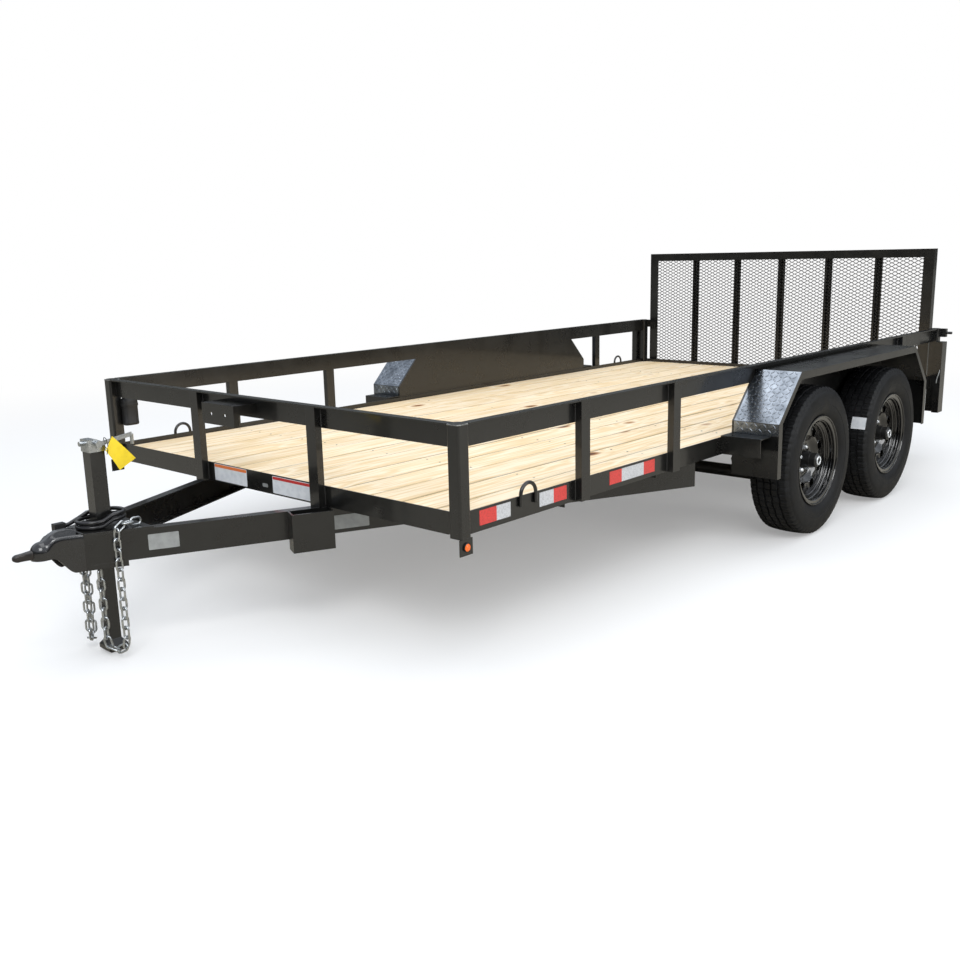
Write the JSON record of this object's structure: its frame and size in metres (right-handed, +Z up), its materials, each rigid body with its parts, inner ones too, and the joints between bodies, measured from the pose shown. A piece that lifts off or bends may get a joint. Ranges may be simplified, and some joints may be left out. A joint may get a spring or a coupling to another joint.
{
  "type": "utility trailer",
  "caption": "Tandem axle flatbed utility trailer with timber deck, low angle rails, diamond plate fenders, A-frame drawbar with jack, and an upright mesh tail gate that drops to a ramp.",
  "frame": {"origin": "middle of the footprint, on the ground under the wheels", "axes": "+Z up, +X to the left hand side of the trailer as it is towed, the coupler points to -Y and the tail gate is at +Y"},
  "size_m": [2.548, 5.299, 1.283],
  "materials": {
    "frame_paint": "satin",
    "deck_wood": "matte",
    "black_paint": "satin",
    "zinc_steel": "satin",
    "tyre_rubber": "matte",
    "rim_paint": "gloss",
    "hub_steel": "satin",
    "amber_lens": "gloss",
    "red_lens": "gloss",
    "holder_plastic": "satin",
    "cable": "satin"
  },
  "bodies": {
    "chassis": {"axles": "black_paint", "brake_shields": "black_paint", "corner_posts": "frame_paint", "coupler": "frame_paint", "coupler_latch": "hub_steel", "deck_boards": "deck_wood", "drawbar_left": "frame_paint", "drawbar_pocket": "frame_paint", "drawbar_right": "frame_paint", "end_beams": "frame_paint", "equalizers": "black_paint", "fender_left": "frame_paint", "fender_right": "frame_paint", "fender_steps": "frame_paint", "gate_hinges": "frame_paint", "gate_latches": "frame_paint", "hangers": "frame_paint", "jack_cradle": "frame_paint", "jack_crank": "zinc_steel", "jack_head": "zinc_steel", "jack_plate": "frame_paint", "jack_tube": "black_paint", "joists": "frame_paint", "lamp_brackets": "frame_paint", "lead_gland": "holder_plastic", "lead_plug": "holder_plastic", "marker_lamps": "amber_lens", "paper_holder": "holder_plastic", "rail_front": "frame_paint", "rail_left": "frame_paint", "rail_right": "frame_paint", "safety_chains": "zinc_steel", "shackles": "black_paint", "side_frame_left": "frame_paint", "side_frame_right": "frame_paint", "side_posts": "frame_paint", "spare_mount": "frame_paint", "springs": "black_paint", "tail_lamps": "red_lens", "tie_loops": "frame_paint", "wheel_wells": "frame_paint", "wiring_lead": "cable"},
    "wheel_left_front": {"tyre_left_front": "tyre_rubber", "rim_left_front": "rim_paint", "hub_left_front": "hub_steel"},
    "wheel_left_rear": {"tyre_left_rear": "tyre_rubber", "rim_left_rear": "rim_paint", "hub_left_rear": "hub_steel"},
    "wheel_right_front": {"tyre_right_front": "tyre_rubber", "rim_right_front": "rim_paint", "hub_right_front": "hub_steel"},
    "wheel_right_rear": {"tyre_right_rear": "tyre_rubber", "rim_right_rear": "rim_paint", "hub_right_rear": "hub_steel"},
    "gate": {"gate_frame": "frame_paint", "gate_bars": "frame_paint", "gate_mesh": "frame_paint", "gate_pins": "frame_paint"},
    "jack_leg": {"jack_leg": "black_paint"}
  },
  "joints": [
    {"name": "wheel_left_front_spin", "type": "hinge", "parent": "chassis", "child": "wheel_left_front", "pos_m": [1.172, 0.49356, 0.346], "axis": [1, 0, 0], "continuous": true},
    {"name": "wheel_left_rear_spin", "type": "hinge", "parent": "chassis", "child": "wheel_left_rear", "pos_m": [1.172, 1.35756, 0.346], "axis": [1, 0, 0], "continuous": true},
    {"name": "wheel_right_front_spin", "type": "hinge", "parent": "chassis", "child": "wheel_right_front", "pos_m": [-1.172, 0.49356, 0.346], "axis": [1, 0, 0], "continuous": true},
    {"name": "wheel_right_rear_spin", "type": "hinge", "parent": "chassis", "child": "wheel_right_rear", "pos_m": [-1.172, 1.35756, 0.346], "axis": [1, 0, 0], "continuous": true},
    {"name": "gate_hinge", "type": "hinge", "parent": "chassis", "child": "gate", "pos_m": [0, 2.6275, 0.455], "axis": [-1, 0, 0], "range_deg": [0, 120]},
    {"name": "jack_slide", "type": "slide", "parent": "chassis", "child": "jack_leg", "axis": [0, 0, 1], "range_m": [0, 0.24]}
  ]
}
